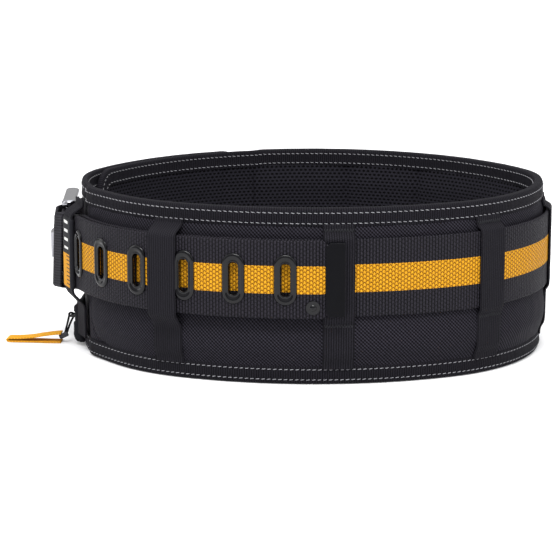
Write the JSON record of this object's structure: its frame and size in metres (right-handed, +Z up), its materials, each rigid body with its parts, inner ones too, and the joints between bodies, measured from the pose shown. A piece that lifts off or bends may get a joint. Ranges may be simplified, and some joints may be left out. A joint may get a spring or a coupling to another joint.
{
  "type": "tool belt",
  "caption": "Padded work belt closed in an oval, with a wide slotted web, roller buckle, belt loops and hook-and-loop wings.",
  "frame": {"origin": "middle of the bounding box in plan, on the floor the belt's bottom binding stands on", "axes": "X from the buckle (-X) to the back of the belt (+X), Y across the belt with the wearer's left at -Y, +Z up"},
  "size_m": [0.4723, 0.326, 0.145],
  "materials": {
    "ballistic_nylon": "woven black ballistic nylon with a diagonal grain",
    "spacer_mesh": "black knitted spacer mesh with staggered oval holes",
    "foam": "closed-cell foam",
    "board": "polypropylene sheet",
    "binding_tape": "ribbed black tape with pale grey stitching",
    "hook_fabric": "fuzzy hook and loop tape",
    "striped_web": "heavy black webbing with a wide orange stripe",
    "tip_plastic": "satin moulded black",
    "black_metal": "glossy black lacquer",
    "washer_metal": "black lacquer",
    "loop_web": "ribbed black webbing",
    "patch": "moulded patch, black above and orange below",
    "gunmetal": "polished dark nickel",
    "pocket_cloth": "smooth black cloth",
    "zip_tape": "black zip tape",
    "zip_coil": "black nylon coil",
    "cord": "braided black cord",
    "ferrule_rubber": "dark grey moulded sleeve",
    "orange_web": "orange webbing"
  },
  "bodies": {
    "belt": {"pad_outer_cloth": "ballistic_nylon", "pad_foam": "foam", "lumbar_board": "board", "pad_mesh_lining": "spacer_mesh", "top_binding": "binding_tape", "bottom_binding": "binding_tape", "outer_wing_cloth": "ballistic_nylon", "outer_wing_foam": "foam", "outer_wing_lining": "spacer_mesh", "outer_wing_binding": "binding_tape", "inner_wing_cloth": "ballistic_nylon", "inner_wing_foam": "foam", "inner_wing_lining": "spacer_mesh", "inner_wing_binding": "binding_tape", "hook_panel": "hook_fabric", "loop_panel": "hook_fabric", "web_strap": "striped_web", "web_tip_cap": "tip_plastic", "slot_eyelets": "black_metal", "slot_washers": "washer_metal", "tip_rivet": "black_metal", "tip_rivet_washer": "washer_metal", "front_loop": "loop_web", "front_patch": "patch", "pocket_shell": "pocket_cloth", "zip_tape": "zip_tape", "zip_coil": "zip_coil", "zip_stops": "black_metal", "belt_loop_1": "loop_web", "belt_loop_2": "loop_web", "belt_loop_3": "loop_web", "belt_loop_4": "loop_web", "belt_loop_5": "loop_web", "belt_loop_6": "loop_web", "belt_loop_7": "loop_web"},
    "keeper": {"keeper": "loop_web"},
    "frame": {"buckle_frame": "gunmetal", "heel_bar": "gunmetal", "heel_bar_screws": "gunmetal"},
    "roller": {"buckle_roller": "gunmetal"},
    "tongue": {"buckle_tongue": "gunmetal"},
    "slider": {"zip_slider": "black_metal"},
    "pull": {"pull_cord": "cord", "pull_ferrule": "ferrule_rubber", "pull_tab": "orange_web"}
  },
  "joints": [
    {"name": "keeper_slide", "type": "slide", "parent": "belt", "child": "keeper", "axis": [0.3707, -0.9176, 0.1437], "range_m": [0, 0.003]},
    {"name": "frame_hinge", "type": "hinge", "parent": "belt", "child": "frame", "pos_m": [-0.20011, 0.02643, 0.08], "axis": [0, 0, 1], "range_deg": [0, 4]},
    {"name": "roller_spin", "type": "hinge", "parent": "frame", "child": "roller", "pos_m": [-0.20203, 0.0814, 0.08], "axis": [0, 0, 1], "continuous": true},
    {"name": "tongue_hinge", "type": "hinge", "parent": "frame", "child": "tongue", "pos_m": [-0.20011, 0.02643, 0.08], "axis": [0, 0, 1], "range_deg": [0, 4]},
    {"name": "zip_slide", "type": "slide", "parent": "belt", "child": "slider", "axis": [0.0872, 0.9962, 0], "range_m": [0, 0.044]},
    {"name": "pull_hinge", "type": "hinge", "parent": "slider", "child": "pull", "pos_m": [-0.19688, -0.0074, 0.0245], "axis": [0.0872, 0.9962, 0], "range_deg": [0, 60]}
  ]
}
